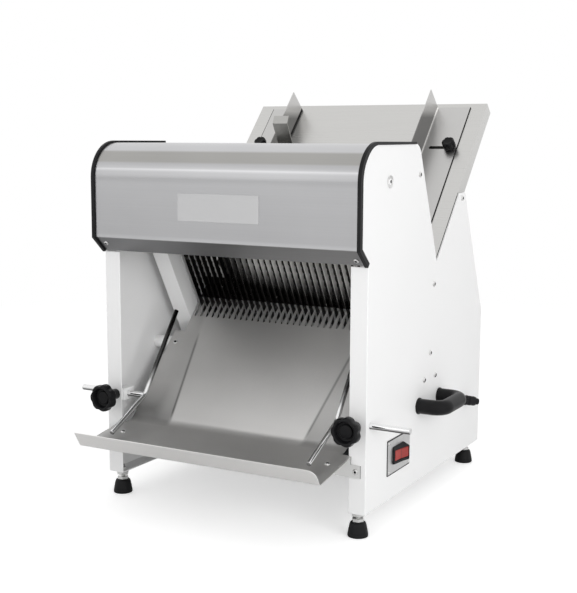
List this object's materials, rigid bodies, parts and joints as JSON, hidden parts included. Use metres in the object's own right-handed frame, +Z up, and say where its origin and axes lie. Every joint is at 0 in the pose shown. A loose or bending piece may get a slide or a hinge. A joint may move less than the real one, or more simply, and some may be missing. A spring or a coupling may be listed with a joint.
{
  "type": "bench bread slicer",
  "caption": "Bench-top bread slicer: sloping feed chute, reciprocating blade frames driven by an internal crank, receiving tray, side handles.",
  "frame": {"origin": "on the surface the feet stand on, under the middle of the overall width and depth", "axes": "+X to the slicer's right as seen from the receiving tray, +Y from the tray towards the feed chute, +Z up"},
  "size_m": [0.626, 0.6715, 0.7091],
  "materials": {
    "panel_paint": "white powder coat",
    "hood_steel": "brushed stainless",
    "tray_steel": "brushed stainless",
    "chute_steel": "fine brushed stainless",
    "blade_steel": "ground",
    "trim_black": "satin",
    "plate_grey": "matte",
    "frame_white": "white paint",
    "machined_steel": "machined",
    "zinc_steel": "zinc plated",
    "chrome_rod": "bright",
    "knob_black": "satin",
    "handle_black": "satin",
    "foot_rubber": "matte",
    "belt_rubber": "matte",
    "pulley_iron": "machined",
    "motor_paint": "grey enamel",
    "base_steel": "grey",
    "housing_black": "satin",
    "rocker_red": "gloss",
    "gland_black": "matte",
    "grip_steel": "brushed"
  },
  "bodies": {
    "housing": {"side_panel_left": "panel_paint", "side_panel_right": "panel_paint", "edge_trim_left": "trim_black", "edge_trim_right": "trim_black", "hood": "hood_steel", "blank_name_plate": "plate_grey", "feed_chute": "chute_steel", "receiving_tray": "tray_steel", "tray_brackets": "panel_paint", "tray_bosses": "frame_white", "blade_guide_left": "frame_white", "blade_guide_right": "frame_white", "guide_spacers": "frame_white", "rod_clamp_blocks": "machined_steel", "rear_cover": "panel_paint", "base_plate": "base_steel", "motor_body": "motor_paint", "motor_cradle": "base_steel", "crank_bearings": "pulley_iron", "drive_belt": "belt_rubber", "carry_handle_left": "handle_black", "carry_handle_right": "handle_black", "switch_plate": "machined_steel", "switch_housing": "housing_black", "cable_gland": "gland_black", "foot_pads": "foot_rubber", "foot_bolts": "zinc_steel", "panel_screws": "zinc_steel", "ring_screws": "zinc_steel", "bracket_screws": "zinc_steel", "tower_tie": "machined_steel", "loaf_guide_studs": "zinc_steel"},
    "blades_front_frame": {"blade_frame_front": "frame_white", "blades_front": "blade_steel", "blade_hooks_front": "machined_steel"},
    "blades_rear_frame": {"blade_frame_rear": "frame_white", "blades_rear": "blade_steel", "blade_hooks_rear": "machined_steel"},
    "crank": {"crankshaft": "machined_steel", "crank_pulley": "pulley_iron"},
    "rods_front": {"connecting_rods_front": "machined_steel"},
    "rods_rear": {"connecting_rods_rear": "machined_steel"},
    "motor_rotor": {"motor_shaft": "machined_steel", "motor_pulley": "pulley_iron"},
    "guide_left": {"bread_guide_left": "chrome_rod"},
    "guide_right": {"bread_guide_right": "chrome_rod"},
    "knob_front_left": {"front_knob_left": "knob_black"},
    "knob_front_right": {"front_knob_right": "knob_black"},
    "fence_left": {"loaf_guide_left": "chute_steel"},
    "fence_right": {"loaf_guide_right": "chute_steel"},
    "knob_loaf_left": {"loaf_knob_left": "knob_black"},
    "knob_loaf_right": {"loaf_knob_right": "knob_black"},
    "pusher": {"pusher_plate": "chute_steel", "pusher_grip": "grip_steel"},
    "rocker": {"switch_rocker": "rocker_red"}
  },
  "joints": [
    {"name": "front_frame_stroke", "type": "slide", "parent": "housing", "child": "blades_front_frame", "axis": [0, -0.5, 0.866], "range_m": [-0.014, 0.014]},
    {"name": "rear_frame_stroke", "type": "slide", "parent": "housing", "child": "blades_rear_frame", "axis": [0, -0.5, 0.866], "range_m": [-0.014, 0.014]},
    {"name": "crank_spin", "type": "hinge", "parent": "housing", "child": "crank", "pos_m": [0, 0.10938, 0.10116], "axis": [1, 0, 0], "continuous": true},
    {"name": "front_rods_turn", "type": "hinge", "parent": "crank", "child": "rods_front", "pos_m": [0, 0.09726, 0.09416], "axis": [1, 0, 0], "continuous": true},
    {"name": "rear_rods_turn", "type": "hinge", "parent": "crank", "child": "rods_rear", "pos_m": [0, 0.12151, 0.10816], "axis": [1, 0, 0], "continuous": true},
    {"name": "motor_spin", "type": "hinge", "parent": "housing", "child": "motor_rotor", "pos_m": [-0.211, 0.22588, 0.112], "axis": [1, 0, 0], "continuous": true},
    {"name": "guide_left_slide", "type": "slide", "parent": "housing", "child": "guide_left", "axis": [1, 0, 0], "range_m": [-0.026, 0.06]},
    {"name": "guide_right_slide", "type": "slide", "parent": "housing", "child": "guide_right", "axis": [1, 0, 0], "range_m": [-0.06, 0.018]},
    {"name": "knob_front_left_turn", "type": "hinge", "parent": "housing", "child": "knob_front_left", "pos_m": [-0.229, -0.23412, 0.1785], "axis": [0, 1, 0], "range_deg": [-360, 0]},
    {"name": "knob_front_right_turn", "type": "hinge", "parent": "housing", "child": "knob_front_right", "pos_m": [0.229, -0.23412, 0.1785], "axis": [0, 1, 0], "range_deg": [-360, 0]},
    {"name": "fence_left_slide", "type": "slide", "parent": "housing", "child": "fence_left", "axis": [-1, 0, 0], "range_m": [-0.002, 0.025]},
    {"name": "fence_right_slide", "type": "slide", "parent": "housing", "child": "fence_right", "axis": [1, 0, 0], "range_m": [-0.002, 0.025]},
    {"name": "knob_loaf_left_turn", "type": "hinge", "parent": "housing", "child": "knob_loaf_left", "pos_m": [-0.2, 0.23223, 0.60692], "axis": [0, -0.7373, 0.6756], "range_deg": [0, 360]},
    {"name": "knob_loaf_right_turn", "type": "hinge", "parent": "housing", "child": "knob_loaf_right", "pos_m": [0.2, 0.23223, 0.60692], "axis": [0, -0.7373, 0.6756], "range_deg": [0, 360]},
    {"name": "pusher_slide", "type": "slide", "parent": "housing", "child": "pusher", "axis": [0, -0.6756, -0.7373], "range_m": [-0.095, 0.28]},
    {"name": "rocker_tilt", "type": "hinge", "parent": "housing", "child": "rocker", "pos_m": [0.2566, -0.09012, 0.107], "axis": [0, 0, 1], "range_deg": [-8, 0]}
  ],
  "couplings": [
    {"joint": "rear_frame_stroke", "follows": "front_frame_stroke", "ratio": -1},
    {"joint": "front_rods_turn", "follows": "crank_spin", "ratio": -1},
    {"joint": "rear_rods_turn", "follows": "crank_spin", "ratio": -1},
    {"joint": "motor_spin", "follows": "crank_spin", "ratio": 2.2727}
  ]
}
